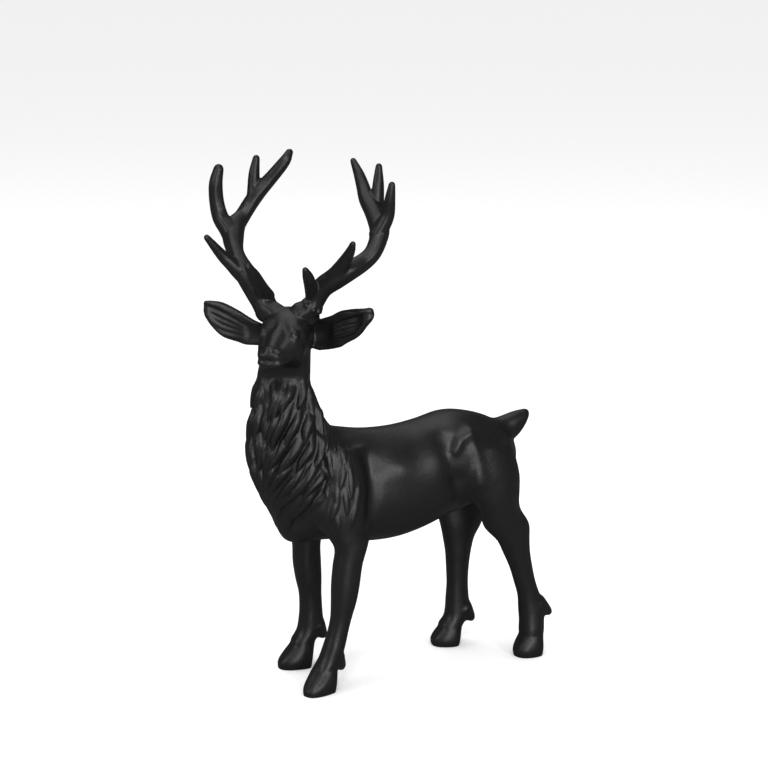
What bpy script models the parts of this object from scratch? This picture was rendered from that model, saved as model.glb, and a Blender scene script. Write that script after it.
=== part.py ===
"""A cast iron stag standing on its four hooves, its head turned to its left. Run it with
blender --background --python part.py, or from the text editor.

The stag faces -Y, its left side is +X and its soles lie on Z = 0. It is one casting, so it is one
object: lofts and tubes for the trunk, neck, head, legs, ears, antlers and tail are fused into one skin,
and the skin is then carved with the muscles, the hooves and the locks of the mane.
"""

import math

import bmesh
import bpy
import numpy as np
from mathutils import Matrix, Vector

# Driving sizes of the whole casting, in millimetres: across the antlers, from the nose side of the breast
# to the tail, and from the soles to the antler tips. The figure is drawn in millimetres with the places
# and sizes below, and is stretched to these three when it is finished.
WIDTH = 143.0
LENGTH = 290.0
HEIGHT = 432.0
MM = 0.001

LEFT = 1
RIGHT = -1

# Head: the poll is the top of the skull between the antlers
POLL = (4.5, -83, 316)
HEAD_TURN = math.radians(44)

# Antlers
BEAM_RADIUS = 8.2
TINE_RADIUS = 5.0
TIP_RADIUS = 2.3
OUTER_TINE_LEAN = 0.02

# Ears
EAR_THICKNESS = 4.6
EAR_CUP = 6.0

# Mane: locks in rows round the neck, from the throat down to the breast
MANE_TOP = 268.0
MANE_BOTTOM = 134.0
ROW_PITCH = 20.0
LOCK_LENGTH = 44.0
LOCK_WIDTH = 9.5
LOCK_DEPTH = 4.6
MANE_MIDLINE = math.radians(38)
THROAT = 215.0

# Hair on the shoulders: rows and columns of short flat tufts
TUFT_ROWS = 4
TUFT_COLUMNS = 4
TUFT_ROW_PITCH = 15.0
TUFT_PITCH = 8.5
TUFT_WIDTH = 8.0
TUFT_DEPTH = 1.5
WITHERS = 206.0

# Skin
VOXEL = 1.5
TRIANGLES = 9400


def smoothstep(low, high, value):
    """0 below low, 1 above high, and smooth between them. It also falls, where low is above high."""
    t = np.clip((np.asarray(value, float) - low) / (high - low), 0, 1)
    return t * t * (3 - 2 * t)


def spline(stations, steps):
    """Rows of numbers read along a smooth curve through the stations, with steps to each stretch."""
    rows = np.array(stations, float)
    ends = np.vstack([2 * rows[0] - rows[1], rows, 2 * rows[-1] - rows[-2]])
    read = []
    for before, start, end, after in zip(ends, ends[1:], ends[2:], ends[3:]):
        for t in np.arange(steps) / steps:
            read.append(
                0.5
                * (
                    2 * start
                    + (end - before) * t
                    + (2 * before - 5 * start + 4 * end - after) * t**2
                    + (3 * start - before - 3 * end + after) * t**3
                )
            )
    read.append(rows[-1])
    return np.array(read)


def mesh_object(name, bm):
    bmesh.ops.recalc_face_normals(bm, faces=bm.faces)
    mesh = bpy.data.meshes.new(name)
    bm.to_mesh(mesh)
    bm.free()
    made = bpy.data.objects.new(name, mesh)
    bpy.context.scene.collection.objects.link(made)
    return made


def loft(name, rings):
    """A closed skin over rings of equal count, with a domed cap on each end ring."""
    bm = bmesh.new()
    rows = [[bm.verts.new(Vector(point) * MM) for point in ring] for ring in rings]
    count = len(rows[0])
    for low, high in zip(rows, rows[1:]):
        for i in range(count):
            j = (i + 1) % count
            bm.faces.new((low[i], low[j], high[j], high[i]))
    for row in (rows[0], rows[-1]):
        pole = bm.verts.new(sum((v.co for v in row), Vector()) / count)
        for i in range(count):
            bm.faces.new((row[i], row[(i + 1) % count], pole))
    return mesh_object(name, bm)


def ring(centre, side, up, half_width, half_up, half_down, egg=0.0, count=48):
    """An oval round centre. Egg over 0 moves its widest place up, and under 0 down."""
    centre, side, up = (np.array(v, float) for v in (centre, side, up))
    points = []
    for angle in np.arange(count) * 2 * math.pi / count:
        rise = math.sin(angle)
        width = half_width * math.cos(angle) * (1 + egg * rise)
        points.append(centre + side * width + up * rise * (half_up if rise > 0 else half_down))
    return points


# Ribs, back and rump, from chest to tail. A station is y, top, bottom, half width and egg.
TRUNK = (
    (-98, 186, 154, 14, 0.0),
    (-90, 200, 136, 25, 0.0),
    (-74, 211, 121, 33, 0.0),
    (-50, 212, 118, 36, 0.0),
    (-22, 208.5, 113, 35, 0.05),
    (5, 207.5, 113, 37.5, 0.05),
    (30, 209.5, 118, 38, 0.05),
    (55, 214, 126, 36, 0.1),
    (75, 213.5, 132, 35, 0.05),
    (95, 207, 138, 31, 0.0),
    (109, 197, 148, 23, 0.0),
    (116, 186, 162, 12, 0.0),
)


def trunk():
    rings = []
    for y, top, bottom, half_width, egg in spline(TRUNK, 4):
        half = (top - bottom) / 2
        rings.append(ring((0, y, bottom + half), (1, 0, 0), (0, 0, 1), half_width, half, half, egg))
    return loft("trunk", rings)


# Neck and breast under the mane. A station is z, x, front y, back y and half width.
NECK = (
    (306, 6, -96, -72, 12),
    (294, 6, -104, -69, 18),
    (276, 5, -110, -69, 21),
    (258, 3, -113, -68.5, 23),
    (240, 2, -116, -64.5, 26.5),
    (222, 1, -118.5, -55.5, 30.5),
    (204, 0, -119.5, -42, 33.5),
    (184, 0, -118, -36, 35),
    (164, 0, -111, -40, 33),
    (146, 0, -101.5, -46, 27),
    (132, 0, -95.5, -54, 20),
    (123, 0, -91, -60, 13),
    (119, 0, -85, -68, 6),
)


def neck():
    rings = []
    for z, x, front, back, half_width in spline(NECK, 4):
        half = (back - front) / 2
        rings.append(ring((x, front + half, z), (1, 0, 0), (0, -1, 0), half_width, half, half, -0.12))
    return loft("neck", rings)


def head_frame():
    """The head's directions: to its left, out of its brow along the nose's way, and up."""
    turn = HEAD_TURN
    left = Vector((math.cos(turn), math.sin(turn), 0))
    forward = Vector((math.sin(turn), -math.cos(turn), 0))
    return left, forward, Vector((0, 0, 1))


def on_head(side, forward, up):
    """A place given from the poll: to the head's left, forwards and up."""
    axes = head_frame()
    return Vector(POLL) + axes[0] * side + axes[1] * forward + axes[2] * up


# Skull and muzzle. A station is forwards from the poll, top, bottom and half width.
HEAD = (
    (-18, -14, -30, 8),
    (-14, -8, -36, 13),
    (-6, -3.8, -45, 16.5),
    (2, -2.6, -52, 18),
    (10, -2.8, -55, 19.2),
    (18, -5.6, -53.5, 18.6),
    (26, -11.5, -51, 15.8),
    (33, -18, -49, 13),
    (39, -23.5, -47.5, 11.2),
    (43.5, -27.5, -45.5, 9.8),
    (46.5, -31, -42, 6.0),
)


def head():
    left, forward, up = head_frame()
    rings = []
    for ahead, top, bottom, half_width in spline(HEAD, 4):
        half = (top - bottom) / 2
        rings.append(ring(on_head(0, ahead, bottom + half), left, up, half_width, half, half, 0.0))
    return loft("head", rings)


# Ears, cupped leaves that stand out from the head. A station is out, forward, up and half height.
EARS = {
    LEFT: (
        (12, -6, -25, 10),
        (20, -4, -25.3, 11.5),
        (32, 0, -20.8, 12.3),
        (45, 3, -15.8, 14.2),
        (56, 6, -10, 10.4),
        (64, 7, -4.8, 6.4),
        (70, 7, -2, 3.2),
    ),
    RIGHT: (
        (12, -6, -29, 9),
        (20, -4, -28.3, 10.3),
        (32, 0, -23.8, 11.3),
        (45, 3, -20.5, 13.4),
        (58, 6, -15, 12.3),
        (68, 7, -9, 8.6),
        (73.5, 7, -5, 4.0),
    ),
}


def on_ear(side, station, t, lift):
    """A place on the ear: t runs from its lower rim at -1 to its upper rim at 1, and lift is how far
    the place stands in front of the middle of the leaf."""
    out, ahead, up, half = station
    cup = EAR_CUP * (1 - t * t) * min(1, half / 10)
    return on_head(side * out, ahead - cup + lift, up + half * t)


def ear(side):
    across = np.linspace(-1, 1, 9)
    bm = bmesh.new()
    rows = []
    for station in spline(EARS[side], 3):
        rows.append([bm.verts.new(on_ear(side, station, t, 0) * MM) for t in across])
    for low, high in zip(rows, rows[1:]):
        for i in range(len(across) - 1):
            bm.faces.new((low[i], low[i + 1], high[i + 1], high[i]))
    made = mesh_object("ear", bm)
    wall = made.modifiers.new("wall", "SOLIDIFY")
    wall.thickness = EAR_THICKNESS * MM
    wall.offset = 0
    return made


# Antler branches. A point is out, forward, up on the left antler, up on the right one, and its girth
# as a share of the branch's radius. The two antlers mirror each other but for their heights.
BEAM = (
    (12, 0, -8, -10, 1.2),
    (20, 2, 7, 1.8, 1.22),
    (28, 1, 16.5, 9.7, 1.02),
    (38, -2, 24.5, 18, 0.97),
    (53, -13, 35.5, 30, 0.95),
    (62, -25, 49, 43.5, 0.95),
    (62, -36, 65, 58, 0.95),
    (53, -46, 79, 75, 0.98),
    (43, -53, 88, 88.5, 0.8),
    (34.5, -57, 96, 100.5, 0.62),
    (27, -62, 109, 115, 0.34),
)
BROW_TINE = ((19, 4, 10, 7, 1.0), (21, 12, 18, 15, 1.0), (23, 22, 28, 27, 0.85), (24, 29, 35, 34, 0.45))
SECOND_TINE = (
    (32, 3, 17.5, 11, 1.5),
    (43, 5, 29.5, 23.5, 1.5),
    (54, 10, 42, 38, 1.0),
    (59, 17, 51, 48, 0.85),
    (62, 23, 57, 54, 0.45),
)
OUTER_TINE = (
    (63, -30, 57, 44, 1.25),
    (72, -31, 71, 59, 1.38),
    (74.5, -25, 86, 79, 1.2),
    (75, -27, 97, 104, 0.5),
)
MIDDLE_TINE = ((53, -46, 77, 74, 1.15), (54.5, -52, 92, 95, 1.0), (54, -53, 107, 110, 0.45))


# Boss that the beam grows out of: out, forward, up and radius
ROOT_BOSS = {LEFT: (15.5, 0, -8.5, 10.5), RIGHT: (22.5, -2, -6, 10.5)}


def antler(side):
    """Beam and tines as tapered tubes, in one curve object made a mesh."""
    curve = bpy.data.curves.new("antler", "CURVE")
    curve.dimensions = "3D"
    curve.bevel_depth = 1.0
    curve.bevel_resolution = 3
    curve.resolution_u = 5
    curve.use_fill_caps = True
    branches = (
        (BEAM, BEAM_RADIUS, 0),
        (BROW_TINE, TINE_RADIUS, 0),
        (SECOND_TINE, TINE_RADIUS, 0),
        (OUTER_TINE, TINE_RADIUS, OUTER_TINE_LEAN),
        (MIDDLE_TINE, TINE_RADIUS, 0),
    )
    for points, radius, lean_right in branches:
        read = spline(points, 5)
        strand = curve.splines.new("POLY")
        strand.points.add(len(read) - 1)
        for point, (out, ahead, up_left, up_right, girth) in zip(strand.points, read):
            up = up_left if side == LEFT else up_right
            point.co = (*(on_head(side * out - lean_right * up, ahead, up) * MM), 1)
            point.radius = girth * radius * MM
    made = bpy.data.objects.new("antler", curve)
    bpy.context.scene.collection.objects.link(made)
    tips = [ball(on_head(side * ROOT_BOSS[side][0], *ROOT_BOSS[side][1:3]), ROOT_BOSS[side][3])]
    for points, _, lean_right in branches:
        out, ahead, up_left, up_right, girth = points[-1]
        up = up_left if side == LEFT else up_right
        tips.append(ball(on_head(side * out - lean_right * up, ahead, up), TIP_RADIUS))
    return [as_mesh(made), *tips]


def ball(centre, radius):
    bm = bmesh.new()
    bmesh.ops.create_uvsphere(bm, u_segments=12, v_segments=8, radius=radius * MM)
    bmesh.ops.translate(bm, verts=bm.verts, vec=Vector(centre) * MM)
    return mesh_object("ball", bm)


def as_mesh(made):
    """The evaluated object as a plain mesh with its caps welded, in place of the object."""
    graph = bpy.context.evaluated_depsgraph_get()
    mesh = bpy.data.meshes.new_from_object(made.evaluated_get(graph))
    plain = bpy.data.objects.new(made.name, mesh)
    plain.matrix_world = made.matrix_world
    bpy.context.scene.collection.objects.link(plain)
    bpy.data.objects.remove(made)
    bm = bmesh.new()
    bm.from_mesh(mesh)
    bmesh.ops.remove_doubles(bm, verts=bm.verts, dist=0.00001)
    bm.to_mesh(mesh)
    bm.free()
    return plain


# Legs, from the body down to the coronet of the hoof. A station is z, x, y, half width, half depth.
FRONT_LEFT = (
    (200, 18, -46, 13, 20),
    (175, 24, -50, 15, 26),
    (150, 28, -50, 14, 25),
    (132, 30, -46, 13, 20),
    (118, 31, -44, 12.5, 13.2),
    (104, 31, -47, 11.6, 11.8),
    (88, 31, -49, 11.3, 11.4),
    (74, 31, -50.5, 10.5, 10.2),
    (60, 31, -53, 8.8, 8.4),
    (48, 31, -56, 8.4, 8.2),
    (36, 31, -59.5, 9.2, 8.8),
    (27, 31, -63, 9.4, 8.8),
    (20, 31, -67.5, 10.2, 8.6),
)
FRONT_RIGHT = (
    (200, -18, -52, 13, 20),
    (175, -24, -56, 15, 26),
    (150, -28, -58, 14, 25),
    (130, -29, -58, 13, 19),
    (109, -29, -58, 11.7, 11.8),
    (92, -29, -57.7, 11.3, 11.5),
    (76, -29, -56.3, 10.6, 10.6),
    (64, -29, -55, 9.2, 9.2),
    (52, -29, -54.5, 9.0, 9.2),
    (42, -29, -54.5, 9.4, 9.8),
    (31, -29, -56, 9.8, 10.5),
    (22, -29, -62, 10.4, 10.5),
)
HIND_LEFT = (
    (190, 20, 84, 14, 24),
    (165, 25, 85, 15, 27),
    (147, 27, 89, 14, 23.2),
    (133, 27, 94, 13, 18.6),
    (117, 26, 101.5, 11.5, 20.3),
    (104, 26, 108, 10.5, 14.3),
    (92, 26, 111.5, 9.6, 11.5),
    (78, 26, 116, 8.6, 9.6),
    (64, 26, 120, 8.3, 9.0),
    (52, 26, 124, 8.6, 9.4),
    (40, 26, 126.5, 9.8, 11.0),
    (30, 27, 126.5, 10.0, 10.4),
    (20, 28, 126, 10.6, 10.8),
)
HIND_RIGHT = (
    (190, -20, 76, 14, 24),
    (165, -25, 78, 15, 28),
    (145, -27, 80, 14, 24),
    (125, -26, 84.5, 12.5, 23.6),
    (108, -24, 84.3, 11.5, 19),
    (95, -24, 82, 10.3, 13.8),
    (82, -24, 81.5, 9.4, 11),
    (68, -24, 81, 8.6, 9.6),
    (54, -24, 81, 8.3, 9.0),
    (42, -24, 81, 8.8, 9.8),
    (32, -24, 81, 9.4, 10.2),
    (24, -24, 79.5, 9.8, 10.4),
    (18, -24, 75, 10.6, 11.5),
)
# Hooves: half width, toe and heel from the middle of the leg's lowest station, by height
HOOF = ((20, 10.4, 9.5, 10.5), (13, 12.0, 15.5, 9.0), (6, 12.8, 20.5, 8.0), (0, 11.8, 20, 6.8), (-4, 11, 18, 6))
HOOF_DROP = 20
CLAW_RISE = 20.0
CLAW_REACH = 18.5
CLEFT_DEPTH = 1.5
CLEFT_WIDTH = 2.0
CORONET_DEPTH = 0.9


# Each leg with the turn of its hoof outwards from straight ahead, the height where its dewclaws stand
# out, and how much further than the common hoof its sole reaches forwards and back
LEGS = (
    (FRONT_LEFT, math.radians(28), 18, 4.5, -5.5),
    (FRONT_RIGHT, math.radians(2), 22, 3.0, -1),
    (HIND_LEFT, math.radians(12), 32, -3, 1.5),
    (HIND_RIGHT, math.radians(-4), 19, -2, 0),
)


def leg(stations, splay, claw_height, toe_reach, heel_reach):
    """One leg with its hoof, which points splay radians away from straight ahead. The sole reaches
    further forwards by toe_reach and back by heel_reach, and the dewclaws stand out at claw_height."""
    rings = []
    for z, x, y, half_width, half_depth in spline(stations, 3):
        rings.append(ring((x, y, z), (1, 0, 0), (0, -1, 0), half_width, half_depth, half_depth))
    upper = loft("leg", rings)
    top, x, y = stations[-1][:3]
    ahead = np.array((math.sin(splay), -math.cos(splay), 0))
    side = np.array((math.cos(splay), math.sin(splay), 0))
    rings = []
    for z, half_width, toe, heel in spline(HOOF, 3):
        height = z if z < 0 else z * top / HOOF_DROP
        low = smoothstep(HOOF_DROP, 0, z)
        rings.append(
            ring((x, y, height), side, ahead, half_width, toe + toe_reach * low, heel + heel_reach * low)
        )
    return [upper, loft("hoof", rings), *dewclaws(stations, claw_height, ahead, side)]


def leg_middle(stations, z):
    """The middle of a leg at height z."""
    rows = np.array(stations, float)[::-1]
    return np.array([np.interp(z, rows[:, 0], rows[:, 1]), np.interp(z, rows[:, 0], rows[:, 2]), z])


def dewclaws(stations, height, ahead, side):
    """The two small claws that stand out behind the fetlock, each at the end of a long low ridge."""
    claws = []
    for hand in (LEFT, RIGHT):
        root = leg_middle(stations, height + CLAW_RISE) - ahead * 3 + side * hand * 2.6
        tip = leg_middle(stations, height) - ahead * CLAW_REACH + side * hand * 3.4
        claws.append(tapered(root, tip, 6.5, 4.2))
    return claws


def tapered(start, end, start_radius, end_radius):
    """A round horn from start to end, with a rounded tip."""
    start, end = Vector(start), Vector(end)
    way = (end - start).normalized()
    side = way.cross(Vector((0, 0, 1))).normalized()
    up = side.cross(way)
    rings = []
    for t, share in ((0, 1), (0.4, 0.95), (0.8, 0.8), (1.0, 0.5)):
        radius = (start_radius + (end_radius - start_radius) * t) * share
        rings.append(ring(start.lerp(end, t), side, up, radius, radius, radius, count=12))
    return loft("horn", rings)


# A short flat tail, lifted. A station is y, z, half width and half depth.
TAIL = (
    (96, 190, 9, 12),
    (108, 192, 9.5, 13),
    (118, 196, 9, 11.5),
    (126, 200.5, 7.5, 8.5),
    (132.5, 205, 5.0, 4.6),
    (135, 207.5, 2.4, 2.2),
)


def tail():
    rings = []
    for y, z, half_width, half_depth in spline(TAIL, 3):
        rings.append(ring((0, y, z), (1, 0, 0), (0, -0.5, 0.87), half_width, half_depth, half_depth))
    return loft("tail", rings)


def fuse(pieces):
    """One skin over all the pieces, as the casting has."""
    solids = [as_mesh(piece) for piece in pieces]
    bm = bmesh.new()
    for solid in solids:
        bm.from_mesh(solid.data)
        bpy.data.objects.remove(solid)
    stag = mesh_object("stag", bm)
    skin = stag.modifiers.new("skin", "REMESH")
    skin.mode = "VOXEL"
    skin.voxel_size = VOXEL * MM
    return as_mesh(stag)


def soften(stag, amount, repeats):
    """Smooths the skin where the group says, which rounds the places where the pieces meet."""
    group = stag.vertex_groups.new(name="soft")
    for index, weight in enumerate(amount):
        group.add([index], float(weight), "REPLACE")
    smooth = stag.modifiers.new("soften", "SMOOTH")
    smooth.factor = 0.5
    smooth.iterations = repeats
    smooth.vertex_group = "soft"
    return as_mesh(stag)


def points_of(mesh):
    points = np.empty(len(mesh.vertices) * 3, np.float32)
    mesh.vertices.foreach_get("co", points)
    return points.reshape(-1, 3).astype(float) / MM


def normals_of(mesh):
    normals = np.empty(len(mesh.vertices) * 3, np.float32)
    mesh.vertices.foreach_get("normal", normals)
    return normals.reshape(-1, 3).astype(float)


def set_points(mesh, points):
    mesh.vertices.foreach_set("co", (points * MM).astype(np.float32).ravel())
    mesh.update()


def nearest_on_line(points, normals, line):
    """How far each point is from a line of straight stretches, measured along the skin, and how far
    along the line its nearest place lies, from 0 to 1."""
    distance = np.full(len(points), np.inf)
    share = np.zeros(len(points))
    for i, (start, end) in enumerate(zip(line, line[1:])):
        way = end - start
        t = np.clip((points - start) @ way / (way @ way), 0, 1)
        gap = points - (start + t[:, None] * way)
        if normals is not None:
            gap = gap - normals * np.sum(gap * normals, axis=1)[:, None]
        length = np.linalg.norm(gap, axis=1)
        closer = length < distance
        distance[closer] = length[closer]
        share[closer] = (i + t[closer]) / (len(line) - 1)
    return distance, share


# Muscles on both flanks, as swellings above 0 and hollows below 0. Each is a height, a width and the
# y and z of a line along it.
FLANK_STROKES = (
    (-3.4, 5.0, ((-50, 209), (-40, 204), (-32, 195), (-27, 182), (-26, 165), (-28, 149), (-34, 133))),
    (2.4, 12, ((-50, 192), (-45, 172), (-45, 150))),
    (-2.4, 4.0, ((-64, 224), (-67, 202), (-65, 177), (-72, 161), (-81, 146), (-86, 138))),
    (1.6, 16, ((-6, 180), (16, 178))),
    (-4.2, 10, ((46, 192), (48, 176), (50, 160))),
    (-1.8, 5, ((52, 164), (54, 152), (60, 142))),
    (3.2, 5.5, ((58, 190), (66, 197), (74, 202))),
    (2.4, 6, ((72, 196), (75, 184), (78, 170), (80, 158))),
    (-2.2, 9, ((88, 196), (98, 188), (104, 176))),
    (1.8, 10, ((92, 172), (92, 158))),
    (-1.6, 5, ((104, 150), (108, 136), (112, 124))),
)
# How far the right legs stand ahead of the left ones, at the front and behind
STRIDE = ((-60, -7), (0, 0), (60, -10))

# The face on both sides, as places to the side, forwards and up from the poll
FACE_STROKES = (
    (-2.6, 4.6, ((13, 21, -20), (14, 17, -24))),
    (2.6, 2.8, ((14.8, 18.2, -23.4), (15.2, 17, -23.6))),
    (1.6, 3.0, ((7, 22, -11), (13, 19, -14.5), (17, 12, -17))),
    (-1.8, 4.5, ((9, 29, -22), (9, 36, -28))),
    (1.2, 3.5, ((0, 18, -7), (0, 30, -15.5), (0, 41, -26))),
    (1.6, 7, ((16, 6, -40), (14, 14, -43))),
    (-1.6, 4, ((12, 27, -41), (15, 20, -44))),
    (-2.0, 2.2, ((5.4, 45, -33), (7, 42.5, -32))),
    (1.0, 2.4, ((5, 43, -29.5), (8.6, 40, -30))),
    (-1.5, 1.9, ((0, 46, -40), (6, 44, -40), (10, 38, -39.5), (12.5, 30, -38))),
    (1.0, 2.5, ((0, 43, -44), (6, 41, -44))),
    (-2.2, 5, ((20, -2, -14), (22, -3, -22))),
)
EAR_STROKES = ((1.5, -0.5), (1.5, 0.0), (1.5, 0.5))
EAR_STROKE_WIDTH = 1.9


def bump(distance, width):
    return np.exp(-((distance / width) ** 2))


def flank_relief(points, normals):
    """Muscles of the flanks. They fade out where the skin no longer faces sideways."""
    shift = np.interp(points[:, 1], *zip(*STRIDE)) * smoothstep(195, 150, points[:, 2])
    plan = points[:, 1:].copy()
    plan[:, 0] -= np.where(points[:, 0] < 0, shift, 0)
    relief = np.zeros(len(points))
    for height, width, line in FLANK_STROKES:
        distance, _ = nearest_on_line(plan, None, np.array(line, float))
        relief += height * bump(distance, width)
    facing = np.abs(normals[:, 0]) * np.sign(normals[:, 0] * points[:, 0])
    return relief * smoothstep(0.1, 0.45, facing)


def face_relief(points, normals):
    """Brow, eyes, bridge, cheeks, nostrils and mouth."""
    relief = np.zeros(len(points))
    near = np.linalg.norm(points - on_head(0, 18, -28), axis=1) < 48
    for height, width, line in FACE_STROKES:
        for side in (LEFT, RIGHT):
            if side == RIGHT and all(place[0] == 0 for place in line):
                continue
            places = np.array([on_head(side * out, ahead, up) for out, ahead, up in line])
            distance, _ = nearest_on_line(points[near], None, places)
            relief[near] += height * bump(distance, width)
    return relief


def ear_relief(points, normals):
    """Ridges along the inside of each ear."""
    relief = np.zeros(len(points))
    forward = np.array(head_frame()[1])
    inner = smoothstep(0.2, 0.6, normals @ forward)
    for side in (LEFT, RIGHT):
        stations = spline(EARS[side], 2)[5:-1]
        near = np.linalg.norm(points - on_head(side * 45, 3, -18), axis=1) < 42
        for height, t in EAR_STROKES:
            line = np.array([on_ear(side, station, t, EAR_THICKNESS / 2) for station in stations])
            distance, share = nearest_on_line(points[near], None, line)
            ends = smoothstep(0, 0.15, share) * smoothstep(1, 0.8, share)
            relief[near] += height * bump(distance, EAR_STROKE_WIDTH) * ends * inner[near]
    return relief


def hoof_relief(points):
    """The cleft down the front of each hoof and the shallow step round its coronet."""
    relief = np.zeros(len(points))
    for stations, splay, _, toe_reach, _ in LEGS:
        top, x, y = stations[-1][:3]
        ahead = np.array((math.sin(splay), -math.cos(splay), 0))
        foot = np.array((x, y, 0))
        near = np.linalg.norm(points - foot - ahead * 6, axis=1) < 34
        cleft = []
        for z, _, toe, _ in HOOF:
            rise = max(z, 0) * top / HOOF_DROP
            reach = toe + toe_reach * float(smoothstep(HOOF_DROP, 0, z))
            cleft.append(foot + ahead * reach + np.array((0, 0, rise)))
        distance, _ = nearest_on_line(points[near], None, np.array(cleft))
        relief[near] -= CLEFT_DEPTH * bump(distance, CLEFT_WIDTH)
        forward = (points[near] - foot) @ ahead
        step = top - 0.25 * forward - points[near][:, 2]
        relief[near] -= CORONET_DEPTH * bump(step, CLEFT_WIDTH)
    return relief


def neck_at(z):
    """Middle, half width and half depth of the neck at height z."""
    rows = np.array(NECK, float)[::-1]
    x, front, back, half_width = (np.interp(z, rows[:, 0], rows[:, i]) for i in (1, 2, 3, 4))
    return x, (front + back) / 2, half_width, (back - front) / 2


def midline(z):
    """Where the locks part at the front of the neck: turned with the head above, straight below."""
    return MANE_MIDLINE * smoothstep(MANE_BOTTOM, THROAT, z)


def around_neck(angle, z):
    """A place on the neck at an angle from the parting, positive on the animal's left."""
    x, y, half_width, half_depth = neck_at(z)
    turn = angle + midline(z)
    return np.array((x + half_width * math.sin(turn), y - half_depth * math.cos(turn), z))


def lean(angle):
    """How fast the locks swing towards the parting as they fall, in radians a millimetre."""
    return 0.0125 * math.sin(math.copysign(min(abs(angle) * 1.25, math.pi), angle))


def mane_locks():
    """Lines along the middle of the locks, from root to tip, with their widths and depths."""
    locks = []
    rows = int((MANE_TOP - MANE_BOTTOM) / ROW_PITCH) + 1
    for row in range(rows):
        z = MANE_TOP - row * ROW_PITCH
        radius = sum(neck_at(z)[2:]) / 2
        count = max(10, round(2 * math.pi * radius / LOCK_WIDTH))
        for i in range(count):
            wave = math.sin(12.9 * row + 4.1 * i)
            angle = 2 * math.pi * (i + 0.5 * (row % 2) + 0.16 * wave) / count - math.pi
            length = LOCK_LENGTH * (1 + 0.16 * math.sin(7.7 * i + 2.3 * row))
            line = []
            height = z + 4 * wave
            for step in range(6):
                line.append(around_neck(angle, height))
                curl = 0.004 * math.sin(step * 1.2 + wave * 3)
                angle -= (lean(angle) + curl) * length / 5
                height -= length / 5
                if height < MANE_BOTTOM - 8:
                    break
            if len(line) > 2:
                locks.append((np.array(line), LOCK_WIDTH * (1 + 0.12 * wave), LOCK_DEPTH))
    return locks


def shoulder_locks():
    """Short flat tufts of hair on each shoulder, below the withers."""
    locks = []
    for row in range(TUFT_ROWS):
        for i in range(TUFT_COLUMNS):
            wave = math.sin(5.3 * row + 8.9 * i)
            y = -63 + TUFT_PITCH * i + 4 * (row % 2) + 1.5 * wave
            z = WITHERS - TUFT_ROW_PITCH * row + 3 * wave - 2.5 * i
            for side in (LEFT, RIGHT):
                line = [(side * 34, y, z), (side * 36, y + 1, z - 10), (side * 37, y - 1, z - 20)]
                locks.append((np.array(line, float), TUFT_WIDTH, TUFT_DEPTH))
    return locks


def lock_relief(points, normals, locks):
    """Height of the hair over the skin. Each lock is a leaf that comes up out of the skin at its root
    and lies on the roots of the next row with its pointed tip."""
    relief = np.zeros(len(points))
    for line, width, depth in locks:
        middle = line.mean(axis=0)
        reach = np.linalg.norm(line - middle, axis=1).max() + width
        near = np.flatnonzero(np.sum((points - middle) ** 2, axis=1) < reach**2)
        if not len(near):
            continue
        distance, share = nearest_on_line(points[near], normals[near], line)
        half = width * 0.6 * np.sin(math.pi * (0.12 + 0.86 * share)) ** 0.75
        across = np.clip(1 - (distance / half) ** 2, 0, 1)
        height = depth * smoothstep(-0.15, 0.4, share) * (1 - 0.35 * share**3) * across**0.6
        relief[near] = np.maximum(relief[near], height)
    return relief


# How far back the mane reaches on the side of the neck, as z and y from the breast up
MANE_EDGE = ((138, -86), (146, -81), (161, -72), (177, -66), (202, -68), (224, -62), (250, -40))


def mane_share(points):
    """1 on the mane, fading to 0 at its edges."""
    x, y, z = points.T
    behind = smoothstep(2, -3, y - np.interp(z, *zip(*MANE_EDGE)))
    heights = smoothstep(MANE_BOTTOM - 8, MANE_BOTTOM + 6, z) * smoothstep(MANE_TOP + 6, MANE_TOP - 6, z)
    face = np.linalg.norm(points - np.array(on_head(0, 26, -34)), axis=1)
    jaw = np.linalg.norm(points - np.array(on_head(0, 6, -34)), axis=1)
    clear = smoothstep(24, 30, face) * smoothstep(20, 25, jaw)
    return behind * heights * clear


def shoulder_share(points, normals):
    """1 on the haired part of each shoulder, fading to 0 round it."""
    x, y, z = points.T
    share = smoothstep(-66, -60, y) * smoothstep(-31, -37, y) * smoothstep(142, 156, z)
    return share * smoothstep(0.3, 0.6, np.abs(normals[:, 0]))


def carve(stag):
    points = points_of(stag.data)
    normals = normals_of(stag.data)
    relief = flank_relief(points, normals) + face_relief(points, normals) + ear_relief(points, normals)
    relief += hoof_relief(points)
    hair = lock_relief(points, normals, mane_locks()) - LOCK_DEPTH * 0.62
    relief += hair * mane_share(points)
    relief += lock_relief(points, normals, shoulder_locks()) * shoulder_share(points, normals)
    set_points(stag.data, points + normals * relief[:, None])


def stand_flat(stag):
    """Cuts the hooves off flat on the ground and closes the cut."""
    bm = bmesh.new()
    bm.from_mesh(stag.data)
    cut = bmesh.ops.bisect_plane(
        bm, geom=[*bm.verts, *bm.edges, *bm.faces], plane_co=(0, 0, 0), plane_no=(0, 0, 1), clear_inner=True
    )
    rim = [item for item in cut["geom_cut"] if isinstance(item, bmesh.types.BMEdge)]
    bmesh.ops.holes_fill(bm, edges=rim)
    bm.to_mesh(stag.data)
    bm.free()


def reduce(stag):
    """Fewer triangles where the skin is plain, and most of them where it is carved."""
    fewer = stag.modifiers.new("fewer", "DECIMATE")
    fewer.ratio = TRIANGLES / (2 * len(stag.data.polygons))
    return as_mesh(stag)


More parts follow.
